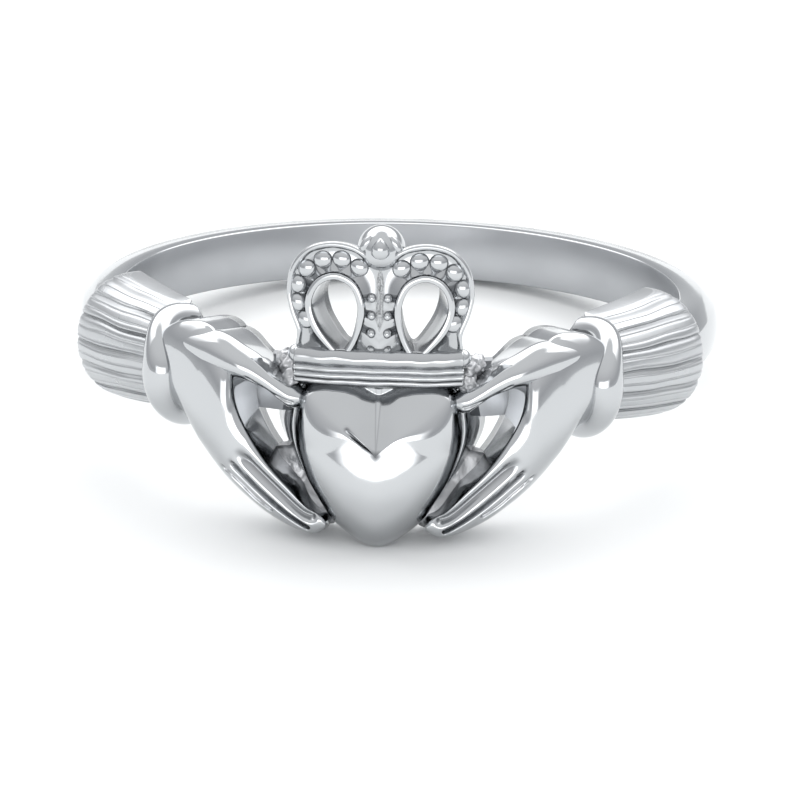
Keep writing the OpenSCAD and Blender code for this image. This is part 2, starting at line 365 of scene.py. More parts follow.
def add_node(tree, kind, inputs=None, **settings):
    """Adds a node, sets it up and links the sockets that are given as inputs."""
    node = tree.nodes.new(kind)
    for key, value in settings.items():
        setattr(node, key, value)
    for key, value in (inputs or {}).items():
        if isinstance(value, bpy.types.NodeSocket):
            tree.links.new(value, node.inputs[key])
        else:
            node.inputs[key].default_value = value
    return node


def silver(name, bright, deep, rough, deep_rough, cloud, grit_mm, grit_height_mm):
    """Sterling silver, with a darker colour mixed in by the vertex attribute: painted shade in hollows,
    creases and grooves, and the as-cast tone on the webs. The same attribute makes the silver rougher there.
    """
    found = bpy.data.materials.get(name)
    if found:
        return found
    material = bpy.data.materials.new(name)
    material.use_nodes = True
    tree = material.node_tree
    shader = tree.nodes["Principled BSDF"]
    shader.inputs["Metallic"].default_value = 1.0
    place = add_node(tree, "ShaderNodeTexCoord").outputs["Object"]
    painted_shade_and_tone = add_node(tree, "ShaderNodeAttribute", attribute_name="painted_shade_and_tone").outputs["Fac"]
    # On the polished pieces the darker colour mixed in here is painted shade
    shade = add_node(tree, "ShaderNodeMix", {"Factor": painted_shade_and_tone, "A": bright, "B": deep}, data_type="RGBA")
    tree.links.new(shade.outputs[2], shader.inputs["Base Color"])
    # Handling marks cloud the polish, and drift over about 1.5 mm
    marks_mm = 1.5
    marks = add_node(tree, "ShaderNodeTexNoise", {"Vector": place, "Scale": 1000 / marks_mm, "Detail": 3.0})
    polish = add_node(tree, "ShaderNodeMapRange", {
        "Value": marks.outputs["Fac"], "From Min": 0.35, "From Max": 0.65, "To Min": rough,
        "To Max": rough + cloud})
    dull = add_node(tree, "ShaderNodeMix", {"Factor": painted_shade_and_tone, "A": polish.outputs["Result"], "B": deep_rough})
    tree.links.new(dull.outputs[0], shader.inputs["Roughness"])
    grit = add_node(tree, "ShaderNodeTexNoise", {
        "Vector": place, "Scale": 1000 / grit_mm, "Detail": 4.0, "Roughness": 0.6})
    bump = add_node(tree, "ShaderNodeBump", {
        "Height": grit.outputs["Fac"], "Distance": grit_height_mm / 1000})
    tree.links.new(bump.outputs["Normal"], shader.inputs["Normal"])
    return material


def polished(ring):
    """Silver polished on the wheel: mirror bright, with hardly any grain."""
    return silver("polished_silver", ring.silver, ring.painted_shade_and_tone, rough=0.07, deep_rough=0.32, cloud=0.03,
                  grit_mm=0.35, grit_height_mm=0.0006)


def worn_and_shaded_inside(ring):
    """Silver inside the finger hole: satin from tumbling and wear, so reflections blur into broad tones, and
    a little darker than the outer silver as painted shade inside the hole.
    """
    return silver("satin_inside", linear("#B6B8BB"), ring.painted_shade_and_tone, rough=0.3, deep_rough=0.5, cloud=0.1,
                  grit_mm=0.3, grit_height_mm=0.0008)


def pleated(ring):
    """Silver of the cuffs, satin from the mould, brushed over: soft gleams along the pleats."""
    return silver("satin_silver", ring.silver, ring.painted_shade_and_tone, rough=0.26, deep_rough=0.45, cloud=0.1,
                  grit_mm=0.14, grit_height_mm=0.005)


def as_cast():
    """Silver as it left the mould, in hollows no wheel reaches: grey, rough and pitted."""
    return silver("cast_silver", linear("#C8C9CB"), linear("#6F7073"), rough=0.3, deep_rough=0.5, cloud=0.15,
                  grit_mm=0.16, grit_height_mm=0.02)


class PieceOperator:
    """What the operators of all pieces share"""

    bl_options = {"REGISTER", "UNDO"}


# Band

# Degrees round the finger where the band and the strip start, and how far they turn, in steps of one degree
BAND_START, BAND_TURN = -40, 260
STRIP_START, STRIP_TURN = 215, 110


class RING_OT_band(PieceOperator, bpy.types.Operator):
    """Spin the domed band and the strip that runs behind the head"""

    bl_idname = "ring.band"
    bl_label = "Band"

    def execute(self, context):
        ring = sizes(context)
        half, rise = ring.band_width / 2, ring.band_crest - ring.band_edge
        if rise <= 0:
            raise ValueError("The band's crest has to stand above its edges")
        dome = (half * half + rise * rise) / (2 * rise)
        outer, steps = [], 12
        for i in range(steps + 1):
            z = half * (1 - i / steps * 2)
            pull = 0.9 * ring.edge_round * soft_step(half - ring.edge_round * 1.6, half, abs(z))
            outer.append((ring.band_crest - dome + math.sqrt(dome * dome - z * z) - pull, z))
        # The inner edges are broken by this much, and their corners by a third of it
        lip, corner = 0.05, 0.015
        profile = [(0, half - lip), (corner, half - corner), (lip, half)] + outer
        profile += [(lip, -half), (corner, corner - half), (0, lip - half)]
        whole = spun(profile, math.radians(BAND_START), math.radians(BAND_TURN), steps=BAND_TURN)
        band = keep(whole, "band", polished(ring))
        # The faces in the finger hole take the inside silver, a little darker as painted shade
        band.data.materials.append(worn_and_shaded_inside(ring))
        for face in band.data.polygons:
            d = place_of(TO_TABLE.inverted() @ face.center)[2]
            face.material_index = 1 if d < 0.03 else 0
        inner, thin = 0.004, ring.band_edge / 2
        profile = [(inner, half), (thin, half), (thin, -half), (inner, -half)]
        strip = spun(profile, math.radians(STRIP_START), math.radians(STRIP_TURN), steps=STRIP_TURN)
        keep(strip, "strip", worn_and_shaded_inside(ring), smooth=False)
        return {"FINISHED"}


# Heart

# The right half of the outline from the cleft to the tip: shares of the heart's width and the head's height
HEART_HALF = [
    (0, 0.028), (0.153, 0.056), (0.306, 0.058), (0.423, 0.035), (0.476, -0.02), (0.5, -0.095),
    (0.483, -0.16), (0.425, -0.24), (0.339, -0.32), (0.259, -0.38), (0.177, -0.418), (0.09, -0.45),
    (0, -0.463),
]
# The dome is this flat on top and this round at its shoulder
DOME_FLAT, DOME_ROUND = 3.2, 0.75
# From this height up the dome leans back towards the cleft, faster and faster over the span, then fading out
LEAN_FROM, LEAN_SPAN, LEAN_RATE, LEAN_MORE, LEAN_FADE = -3.0, 1.48, 0.055, 0.057, 0.35
# The cleft's faces start this far below the top of the dome
POINT_DROP = 0.12
# The narrow flat strip in the middle of the cleft widens by this angle to each side
STRIP = math.radians(3.0)
RIGHT_ANGLE = math.pi / 2


class HeartShape:
    """The heart's front over its outline, seen from the point where the crease's two lines meet"""

    def __init__(self, ring):
        self.ring = ring
        half = [(s * ring.heart_width, z * ring.head_height) for s, z in HEART_HALF]
        self.line = closed_line(half + [(-s, z) for s, z in half[-2:0:-1]], 8)
        self.top = -0.155 * ring.head_height
        self.pole = (0.0, 0.98 * self.top)

    def share(self, s, z):
        """0 at the middle of the dome, 1 at its edge."""
        reach_there = ray(self.line, (0.0, self.top), math.atan2(z - self.top, s))
        return min(math.hypot(s, z - self.top) / reach_there, 1.0)

    def dome(self, s, z):
        up = max(0.0, z - self.top) / -self.top
        full = self.ring.lobe_fullness * 1.35 * up * up / (up + 0.35)
        over = z - LEAN_FROM
        lean = LEAN_RATE * min(max(over, 0.0), LEAN_SPAN) ** 2
        lean += LEAN_MORE * (1 - math.exp(-max(over - LEAN_SPAN, 0.0) / LEAN_FADE))
        return self.ring.heart_rise * (1 - self.share(s, z) ** (DOME_FLAT + full)) ** DOME_ROUND - lean

    def cleft(self, s, z):
        """Two faces that lean back towards the crown, with the narrow flat strip between them."""
        up = z - self.pole[1]
        aside = max(abs(s), math.tan(STRIP) * up)
        return self.ring.heart_rise - POINT_DROP - self.ring.cleft_slope * (up - 0.77 * aside)

    def place(self, turn, t):
        """s and z, a share t of the way from the pole to the outline."""
        r = t * ray(self.line, self.pole, turn)
        return self.pole[0] + r * math.cos(turn), self.pole[1] + r * math.sin(turn)

    def crease(self, t):
        """The angle at which the dome meets the cleft's right face."""
        low, high = math.radians(30), math.radians(84)
        for _ in range(14):
            guess = (low + high) / 2
            s, z = self.place(guess, t)
            if self.dome(s, z) < self.cleft(s, z):
                low = guess
            else:
                high = guess
        return low

    def front_ring(self, t, below=80, above=26):
        """Points once round the pole, with one on the crease. The dome and the cleft blend near the edge."""
        crease = self.crease(t)
        turns = [-RIGHT_ANGLE + (crease + RIGHT_ANGLE) * k / below for k in range(below)]
        turns += [crease + (RIGHT_ANGLE - STRIP - crease) * k / above for k in range(above)]
        turns += [RIGHT_ANGLE - STRIP, RIGHT_ANGLE - STRIP / 2]
        turns = turns + [RIGHT_ANGLE] + [math.pi - a for a in turns[:0:-1]]
        points = []
        for turn in turns:
            s, z = self.place(turn, t)
            blend = 0.015 + 1.1 * soft_step(0.2, 0.8, t) * soft_step(-0.5, 0.6, min(turn, math.pi - turn))
            rise = soft_min(self.dome(s, z), self.cleft(s, z), blend) if t < 1 else 0.0
            if turn > RIGHT_ANGLE:
                rise -= self.wax_step(math.pi - turn - crease, math.hypot(s, z - self.pole[1]))
            points.append((s, z, self.ring.heart_edge + max(rise, 0.0)))
        return points

    def wax_step(self, off, far):
        """The sharp little step that the wax left under the left face, close below the crease."""
        across = hump(math.degrees(off) + 3.5, 2.8)
        return 0.16 * across * soft_step(0.02, 0.12, far) * soft_step(1.25, 0.7, far)

    def shade(self, s, z, d):
        """Where shade is painted into the silver: down the wall, along the wax step, beside the strip, and a
        dark band near the tip that is a painted reflection.
        """
        # Painted shade down the wall, darkest towards the finger hole
        if d < self.ring.heart_edge * 0.9:
            return 0.15 * soft_step(1.1, 0.5, d)
        # A painted shadow line under the wax step on the left face
        step = hump(off_line([(-0.85, -0.76), (-0.36, -1.28), (0.0, -1.52)], s, z)[0], 0.06)
        up = z - self.pole[1]
        # Painted shade along both edges of the cleft's flat strip
        beside = 0.3 * hump(abs(s) - math.tan(STRIP) * up, 0.02) if up > 0.1 else 0.0
        share = self.share(s, z)
        # A dark band painted near the heart's lower edge: a painted reflection of the shaded floor beneath
        band = 0.3 * soft_step(0.62, 0.84, share) * soft_step(0.97, 0.9, share) * soft_step(-1.6, -3.2, z)
        return max(step, beside, band)


class RING_OT_heart(PieceOperator, bpy.types.Operator):
    """Loft the heart's dome with the two flat faces of its cleft"""

    bl_idname = "ring.heart"
    bl_label = "Heart"

    def execute(self, context):
        ring = sizes(context)
        if ring.heart_rise <= POINT_DROP:
            raise ValueError("The heart has to rise over its edge")
        heart = HeartShape(ring)
        count = 48
        rings = [heart.front_ring(math.cos(RIGHT_ANGLE * i / count) ** 0.7) for i in range(count)]
        edge = [(s, z) for s, z, _ in rings[0]]
        waist = -0.1 * ring.head_height
        foot, wider, lower = 0.02, 0.42, 0.14

        def behind(k, d, flare=1.0):
            """The outline behind the edge, a share k of its size. The wall flares towards the finger hole."""
            return [spot(s * (1 + wider * flare) * k, waist + (z - waist) * (1 - lower * flare) * k, d)
                    for s, z in edge]

        back = [behind(k, foot) for k in (0.25, 0.5, 0.75, 1.0)]
        wall = [behind(1.0, ring.heart_edge * k, 1 - k) for k in (0.3, 0.6, 0.85)]
        front = [[spot(*p) for p in points] for points in rings]
        point = spot(*heart.pole, ring.heart_edge + ring.heart_rise - POINT_DROP)
        bm = loft(back + wall + front, (spot(0, waist, foot), point))
        keep(bm, "heart", polished(ring), heart.shade)
        return {"FINISHED"}


# Crown

# Closed outlines, in shares of the crown's width and of the head's height
ARCH_LINE = [
    (-0.02, 0.135), (-0.02, 0.26), (-0.02, 0.37), (0.02, 0.43), (0.12, 0.478), (0.25, 0.492),
    (0.38, 0.472), (0.47, 0.415), (0.5, 0.34), (0.48, 0.27), (0.44, 0.21), (0.4, 0.13),
]
HOLE_LINE = [
    (0.238, 0.374), (0.321, 0.352), (0.359, 0.3), (0.336, 0.242), (0.272, 0.188), (0.2, 0.15),
    (0.152, 0.185), (0.124, 0.242), (0.117, 0.298), (0.155, 0.352),
]
HOLE_CENTRE = (0.238, 0.275)
# The beads of the middle column, one of each pair
COLUMN = [(0.24, 1.55 + 0.55 * i) for i in range(4)]
# The tongue below the ball: share of its length, half its width and its height there
TONGUE = [
    (0, 0.02, 0.05), (0.1, 0.14, 0.16), (0.25, 0.26, 0.24), (0.42, 0.3, 0.28), (0.6, 0.26, 0.24),
    (0.78, 0.16, 0.18), (0.92, 0.07, 0.1), (1, 0.015, 0.04),
]


def crown_arch(ring, sign):
    """Half of the pierced crown, lofted round its hole, and where shade is painted into its silver."""
    deep, high, rim = ring.crown_depth, ring.crown_depth + ring.crown_relief, ring.rim_width
    back = 0.03
    hole, outline = (closed_line([(s * ring.crown_width, z * ring.head_height) for s, z in line], 6)
                     for line in (HOLE_LINE, ARCH_LINE))
    centre = (HOLE_CENTRE[0] * ring.crown_width, HOLE_CENTRE[1] * ring.head_height)
    every = range(120)
    turns = [math.tau * i / 120 for i in every]
    inner, outer = [ray(hole, centre, a) for a in turns], [ray(outline, centre, a) for a in turns]

    def place(i, r):
        return centre[0] + r * math.cos(turns[i]), centre[1] + r * math.sin(turns[i])

    def at(i, r, d, taper=0.0):
        s, z = place(i, r)
        return spot(sign * s * (1 - 0.05 * taper), z - (z - 1.2) * 0.16 * taper, d)

    def raised(i):
        """The outer edge is raised everywhere but at the middle column and the foot."""
        s, z = place(i, outer[i])
        return soft_step(0.1, 0.5, s) * soft_step(1.3, 1.7, z)

    # From the hole outwards: its wall, the rim round it, the raised outer edge, the outer wall, the back
    rings = []
    for off, d in ((0, back), (0, 0.6), (0, 1.2), (0, high - 0.05), (0.01, high - 0.015), (0.03, high),
                   (rim * 0.5, high + 0.005), (rim - 0.03, high), (rim - 0.01, high - 0.02),
                   (rim, high - 0.05), (rim + 0.02, deep + 0.02)):
        rings.append([at(i, inner[i] + off, d) for i in every])
    for inset, lift in ((0.26, 0.1), (0.21, 0.12), (0.17, 0.8), (0.12, 1.0), (0.05, 1.0), (0.01, 0.7),
                        (0, 0.35)):
        rings.append([at(i, max(outer[i] - inset, inner[i] + rim + 0.03),
                         deep + ring.crown_relief * lift * raised(i)) for i in every])
    for k in (0.1, 0.4, 0.7, 1.0):
        rings.append([at(i, outer[i], deep * (1 - k) + back * k, taper=k) for i in every])
    for k in (0.66, 0.33):
        rings.append([at(i, inner[i] + (outer[i] - inner[i]) * k, back, taper=k) for i in every])
    around = [(sign * s, z) for s, z in hole + hole[:1]]

    # Painted shade: down the piercing's wall, in the sockets round the column's beads, and on the plate
    # between the rims
    def shade_painted(s, z, d):
        if off_line(around, s, z)[0] < 0.02:
            return 0.7 * soft_step(high - 0.04, high - 0.3, d)
        socket = min(math.hypot(abs(s) - a, z - b) for a, b in COLUMN)
        if socket < 0.3:
            return 0.4 * soft_step(0.24, 0.17, socket)
        return 0.15 * soft_step(high - 0.06, deep + 0.02, d)

    return loft(rings, "joined"), shade_painted


def crown_beads(ring):
    """The beads along both arches and the pairs in the middle column."""
    deep, beads = ring.crown_depth, []
    first, spread = -38, 170
    for sign in SIDES.values():
        for i in range(ring.arch_beads):
            a = math.radians(first + i * spread / (ring.arch_beads - 1))
            centre = (sign * (1.4 + 1.22 * math.sin(a)), 3.2 + 1.18 * math.cos(a), deep + 0.01)
            beads.append(bead(centre, (0.3, 0.27, 0.17), turn=-sign * a))
        beads += [bead((sign * s, z, deep + 0.02), (0.13, 0.15, 0.16)) for s, z in COLUMN]
    return joined(beads)


def crown_tongue(ring):
    """The pointed tongue that hangs from the ball between the arches."""
    top, long, rings = 5.12, 1.15, []
    for k, wide, tall in TONGUE:
        z = top - long * k
        d = ring.crown_depth + 0.14 - 0.3 * k * k + (0.1 if k < 0.5 else 0.0)
        rings.append([spot(wide * math.cos(a), z, d + tall * math.sin(a))
                      for a in (math.tau * i / 24 for i in range(24))])
    return loft(rings)


class RING_OT_crown(PieceOperator, bpy.types.Operator):
    """Loft both pierced arches with their rims, and set the beads, the ball, its petals and its tongue"""

    bl_idname = "ring.crown"
    bl_label = "Crown"

    def execute(self, context):
        ring = sizes(context)
        deep = ring.crown_depth
        for side, sign in SIDES.items():
            bm, shade_painted = crown_arch(ring, sign)
            keep(bm, "crown_arch_" + side, polished(ring), shade_painted)
        # Painted shade round the beads' feet, where they meet the plate
        keep(crown_beads(ring), "crown_beads", polished(ring),
             lambda s, z, d: soft_step(deep + 0.1, deep + 0.02, d))
        seat, top = 0.78 * deep, 0.537 * ring.head_height
        ball = bead((0, top - ring.ball_radius, seat), (ring.ball_radius,) * 3, segments=64)
        keep(ball, "crown_ball", polished(ring))
        petals = [bead((sign * 0.46, 4.87, seat + 0.44), (0.15, 0.34, 0.15), turn=sign * math.radians(34))
                  for sign in SIDES.values()]
        keep(joined(petals), "crown_petals", polished(ring))
        keep(crown_tongue(ring), "crown_tongue", polished(ring))
        return {"FINISHED"}


# Crown foot

# d and z of the profile: a broad sloping face, then one wide ridge and two thin ones
FOOT_PROFILE = [
    (0.04, 1.3), (1.7, 1.45), (1.8, 1.56), (1.92, 1.59), (2, 1.57), (2.1, 1.46), (2.15, 1.32), (2.14, 1.2),
    (2.07, 1.11), (1.97, 1.085), (2.05, 1.075), (2.12, 1.05), (2.16, 1), (2.15, 0.95), (2.09, 0.9),
    (1.97, 0.875), (2.05, 0.865), (2.11, 0.83), (2.13, 0.78), (2.1, 0.72), (1.96, 0.685), (2.03, 0.675),
    (2.08, 0.63), (2.07, 0.56), (1.98, 0.5), (1.85, 0.45), (1.5, 0.3), (0.04, 0.1),
]
# Half of its width, as a share of the heart's
FOOT_HALF = 0.463


class RING_OT_crown_foot(PieceOperator, bpy.types.Operator):
    """Spin the ledge and its fine ridges, and set the end balls"""

    bl_idname = "ring.crown_foot"
    bl_label = "Crown foot"

    def execute(self, context):
        ring = sizes(context)
        deep, half = ring.crown_depth, FOOT_HALF * ring.heart_width
        bm = spun(FOOT_PROFILE, -RIGHT_ANGLE - half / HEAD_RADIUS, 2 * half / HEAD_RADIUS, steps=120)

        def worn(s, z, d):
            """The ridges wander a little, as they were cut by hand in the wax."""
            if d < deep:
                return s, z, d
            waver = 0.03 * grain((s, 0, 0), 1.1, 3.0) + 0.012 * grain((s, z * 3, 0), 0.25, 5.0)
            return s, z + waver, d + 0.035 * grain((s, z * 2, 0), 0.5, 8.0)

        # Painted shade: strong on the faces that lie back below the crown's plate, light over the top ridge,
        # and in the grooves between the lower ridges
        def shade_painted(s, z, d):
            if d < deep - 0.05:
                return 0.5
            if z > 1.12:
                return 0.15
            return soft_step(deep + 0.27, deep + 0.2, d)

        shape(bm, worn)
        keep(bm, "crown_foot", polished(ring), shade_painted)
        balls = [bead((sign * half, 1.34, deep), (0.28,) * 3, segments=32) for sign in SIDES.values()]
        keep(joined(balls), "foot_balls", polished(ring))
        return {"FINISHED"}


# Hands

# Columns: place along the head and height of the lower side, the same of the upper side, share of the hand's
# depth, and how far the upper wall leans along the head and down. Places run from 0 at the heart's side to
# 1 at the wrist, and heights are shares of the head's height.
PALM_LINE = [
    (1, -0.09, 1.04, 0.14, 0.82, 0, 0.02), (0.84, -0.12, 0.84, 0.182, 0.87, 0, 0.02),
    (0.69, -0.2, 0.6, 0.182, 0.94, 0, 0.03), (0.55, -0.265, 0.41, 0.09, 1, 0.02, 0.05),
    (0.43, -0.31, 0.35, -0.04, 0.97, 0.07, 0.03), (0.29, -0.355, 0.25, -0.132, 0.92, 0.07, 0.02),
    (0.16, -0.39, 0.12, -0.22, 0.87, 0.02, 0.01), (0.02, -0.418, -0.01, -0.285, 0.82, -0.04, 0.01),
    (-0.1, -0.434, -0.14, -0.347, 0.78, -0.07, 0.01), (-0.19, -0.434, -0.23, -0.367, 0.75, -0.07, 0.01),
    (-0.26, -0.415, -0.27, -0.385, 0.72, -0.04, 0.01),
]
THUMB_LINE = [
    (0.93, 0.1, 0.92, 0.13, 0.74, 0, 0.02), (0.76, 0.07, 0.74, 0.163, 0.86, 0, 0.02),
    (0.6, 0.038, 0.58, 0.173, 0.92, 0, 0.03), (0.47, 0.03, 0.46, 0.164, 0.95, 0, 0.035),
    (0.33, 0.027, 0.33, 0.138, 0.95, 0, 0.055), (0.24, 0.016, 0.24, 0.118, 0.91, 0, 0.065),
    (0.15, 0, 0.15, 0.09, 0.88, 0, 0.07), (0.06, -0.027, 0.06, 0.063, 0.86, 0, 0.072),
    (-0.01, -0.047, -0.03, 0.041, 0.85, 0, 0.07), (-0.08, -0.03, -0.09, 0.022, 0.8, 0, 0.065),
]
# Columns: points from the wrist's side to the heart's, width in millimetres, share of the full depth
GROOVES = [([(0.33, -0.17), (0.09, -0.275), (-0.09, -0.35), (-0.17, -0.369)], 0.15, 0.7),
           ([(0.38, -0.21), (0.24, -0.27), (0.03, -0.355), (-0.14, -0.407)], 0.07, 1.0),
           ([(0.47, -0.23), (0.35, -0.272), (0.22, -0.327), (0.11, -0.359)], 0.06, 0.5)]
THUMB_GROOVES = [([(0.205, 0.116), (0.16, 0.1), (0.1, 0.075), (0.03, 0.056), (-0.04, 0.043)], 0.07, 1.0),
                 ([(0.29, 0.061), (0.165, 0.021), (0.03, -0.003), (-0.04, -0.013)], 0.05, 0.25)]
HAND_BACK = 0.02
# The walls that face the heart lie below this d and this z
WALL_D, WALL_Z = 1.65, 0.4
Section = namedtuple("Section", "low high share lean")


def wrist_of(ring):
    """How far along the head the wrist lies."""
    return ring.wrist_angle * HEAD_RADIUS


def reach(ring, t):
    """How far along the head a table's place lies."""
    return ring.heart_width / 2 + t * (wrist_of(ring) - ring.heart_width / 2)


def sections(ring, table, steps):
    """The table's sections in millimetres."""
    span, tall = wrist_of(ring) - ring.heart_width / 2, ring.head_height
    return [Section((reach(ring, a), b * tall), (reach(ring, c), d * tall), share,
                    (along * span, down * tall))
            for a, b, c, d, share, along, down in open_line(table, steps)]


def groove_lines(ring, table):
    return [(open_line([(reach(ring, t), z * ring.head_height) for t, z in line], 8), width, deep)
            for line, width, deep in table]


def hand_section(sign, cut, depth, crest, sharp, drop, count=64):
    """Up the upper wall, over the back of the finger to its lower side, and back along the finger hole."""
    low, high, top, flat = cut.low, cut.high, depth * cut.share, depth / 2
    side = top * sharp + flat * (1 - sharp)
    lean = (side - HAND_BACK) / (side + 0.44)
    inner = (high[0] + cut.lean[0] * lean, high[1] - cut.lean[1] * lean)
    outer = (low[0], low[1] + min(drop, (high[1] - low[1]) / 3) * 0.73)
    path = [between((*inner, HAND_BACK), (*high, side), k) for k in (0, 0.25, 0.5, 0.75, 0.93)]
    for i in range(count + 1):
        v = (1 - math.cos(math.pi * i / count)) / 2
        if v < crest:
            d = side + (top - side) * (1 - (1 - v / crest) ** 2.2) ** 0.55
        else:
            d = flat + (top - flat) * max(1 - ((v - crest) / (1 - crest)) ** 2.2, 0) ** 0.55
        path.append((*between(high, low, v), d))
    path += [between((*low, flat), (*outer, HAND_BACK), k) for k in (0.25, 0.5, 0.75, 1.0)]
    path += [(*between(outer, inner, k), HAND_BACK) for k in (0.17, 0.34, 0.5, 0.67, 0.84)]
    return [spot(sign * s, z, d) for s, z, d in path]


def grooved(ring, sign, lines, floor):
    """Sinks the surface along the grooves."""
    def move(s, z, d):
        if d < floor:
            return s, z, d
        cut = 0.0
        for line, width, deep in lines:
            gap, along = off_line(line, sign * s, z)
            cut = max(cut, ring.finger_groove * deep * soft_step(0.0, 0.16, along) * hump(gap, width))
        return s, z, d - cut
    return move


def creased(sign, lines, floor, shade, walls=None):
    """Painted shade: darkest along the grooves' floors, and on the walls that face the heart."""
    def painted_shade_and_tone(s, z, d):
        s = sign * s
        # Everything close to the finger hole takes the given painted shade
        if d < floor:
            return shade
        on_wall = walls and d < WALL_D and z < WALL_Z
        if on_wall and off_line(walls[0], s, z)[0] < off_line(walls[1], s, z)[0]:
            return 0.2 * soft_step(WALL_D, WALL_D - 0.15, d)
        deepest = 0.0
        for line, width, deep in lines:
            gap, along = off_line(line, s, z)
            deepest = max(deepest, deep * soft_step(0.0, 0.1, along) * hump(gap, 0.7 * width))
        return deepest
    return painted_shade_and_tone


class RING_OT_hands(PieceOperator, bpy.types.Operator):
    """Loft each palm with its fingers and the thumb that crosses it"""

    bl_idname = "ring.hands"
    bl_label = "Hands"

    def execute(self, context):
        ring = sizes(context)
        if wrist_of(ring) <= ring.heart_width / 2:
            raise ValueError("The wrists have to lie outside the heart")
        deep, tall = ring.hand_depth, ring.head_height
        lines, thumb_lines = groove_lines(ring, GROOVES), groove_lines(ring, THUMB_GROOVES)
        cuts, thumb_cuts = sections(ring, PALM_LINE, 18), sections(ring, THUMB_LINE, 18)
        walls = [cut.high for cut in cuts], [cut.low for cut in cuts]
        for side, sign in SIDES.items():
            palm = []
            for cut in cuts:
                # Towards the fingertips the crest moves up and the upper wall gets sharper
                t = (cut.high[0] - reach(ring, 0)) / (reach(ring, 1) - reach(ring, 0))
                k = min(max((0.58 - t) / 0.31, 0), 1)
                palm.append(hand_section(sign, cut, deep, crest=0.5 - 0.25 * k, sharp=0.45 + 0.4 * k,
                                         drop=0.042 * tall))
            bm = loft(palm)
            shape(bm, grooved(ring, sign, lines, floor=1.0))
            keep(bm, "hand_" + side, polished(ring), creased(sign, lines, floor=0.9, shade=0.35, walls=walls))
            bm = loft([hand_section(sign, cut, deep, crest=0.5, sharp=0.45, drop=-0.065 * tall)
                       for cut in thumb_cuts])
            shape(bm, grooved(ring, sign, thumb_lines, floor=1.4))
            keep(bm, "thumb_" + side, polished(ring), creased(sign, thumb_lines, floor=0.8, shade=0.3))
        return {"FINISHED"}


# Wrist rolls

SLEEVE_BACK = 0.025


def roll_at(ring, up):
    """Along the head, a roll leans away from the fingers towards its top."""
    return wrist_of(ring) * (1 + 0.11 * max(up, 0) ** 2)


class RING_OT_rolls(PieceOperator, bpy.types.Operator):
    """Bend a smooth roll round each wrist"""

    bl_idname = "ring.rolls"
    bl_label = "Wrist rolls"

    def execute(self, context):
        ring = sizes(context)
        deep, half = ring.hand_depth, ring.roll_height / 2 - ring.roll_radius
        middle_height = 0.02 * ring.head_height
        around, across, line_at = 140, 64, 55
        for side, sign in SIDES.items():
            rings = []
            for i in range(around):
                f = math.tau * i / around
                up = max(math.sin(f), 0)
                points = []
                for j in range(across):
                    a = math.tau * j / across
                    # A fine line runs along the roll's outer side and leaves a thin flange there
                    radius = ring.roll_radius * (1 - 0.2 * up) - 0.05 * hump(j - line_at, 1.2)
                    r = radius * math.cos(a)
                    z = middle_height + (half * (1 - 0.1 * up) + r) * math.sin(f)
                    d = max(deep / 4 + (deep / 2 + r) * math.cos(f), SLEEVE_BACK)
                    points.append(spot(sign * (roll_at(ring, math.sin(f)) - radius * math.sin(a)), z, d))
                rings.append(points)
            keep(loft(rings, "joined"), "wrist_roll_" + side, polished(ring))
        return {"FINISHED"}


# Cuffs

# Columns: share of the way from the roll to the far end, size there, height of its middle
CUFF_STEPS = [(0, 0.82, 0.32), (0.3, 0.9, 0.28), (0.7, 0.98, 0.24), (0.92, 1, 0.22), (0.98, 0.93, 0.22),
              (1, 0.8, 0.22)]


def cuff_ends(ring):
    """How far along the head a cuff starts and ends."""
    return wrist_of(ring), ring.cuff_angle * HEAD_RADIUS


def cuff_groove(ring, s, share, t, sign):
    """How deep the pleats' grooves are, from 0 to 1. Each is a narrow cut that wanders and differs."""
    place = ring.cuff_ribs * (t / math.pi + 0.5) + 0.1 * grain((s * 0.5, t * 2, 0), 0.8, sign * 4.0)
    which = round(place)
    gap = abs(place - which) / ring.cuff_ribs * math.pi * ring.cuff_depth
    size = 0.8 + 0.5 * grain((which * 3.1, s * 0.6, 0), 1.0, sign * 9.0)
    # Finer scratches run between them, 2.6 to each pleat
    scratch = round(place * 2.6 + 0.3 * grain((s, t, 0), 0.5, 2.0)) / 2.6
    cut = size * hump(gap, 0.08) + 0.35 * hump((place - scratch) * math.pi * 0.26, 0.03)
    return cut * soft_step(0.0, 0.12, share) * soft_step(1.0, 0.93, share)


def cuff_shade(ring, sign):
    """Painted shade along the grooves' floors."""
    near, far = cuff_ends(ring)

    def painted_shade_and_tone(s, z, d):
        # The place on the plain cuff, found in three rounds, as it depends on itself
        share = 0.5
        for _ in range(3):
            half = (0.82 + 0.18 * min(share / 0.9, 1)) * ring.cuff_height / 2
            t = math.asin(min(max((z - 0.3 + 0.08 * share) / half, -1), 1))
            plain = sign * s - (1 - share) * (roll_at(ring, math.sin(t)) - near)
            share = min(max((plain - near) / (far - near), 0.0), 1.0)
        # A faint even darkening, with painted shade along the grooves and fine scratches
        return 0.04 + 0.5 * min(cuff_groove(ring, plain, share, t, sign), 1.0)
    return painted_shade_and_tone


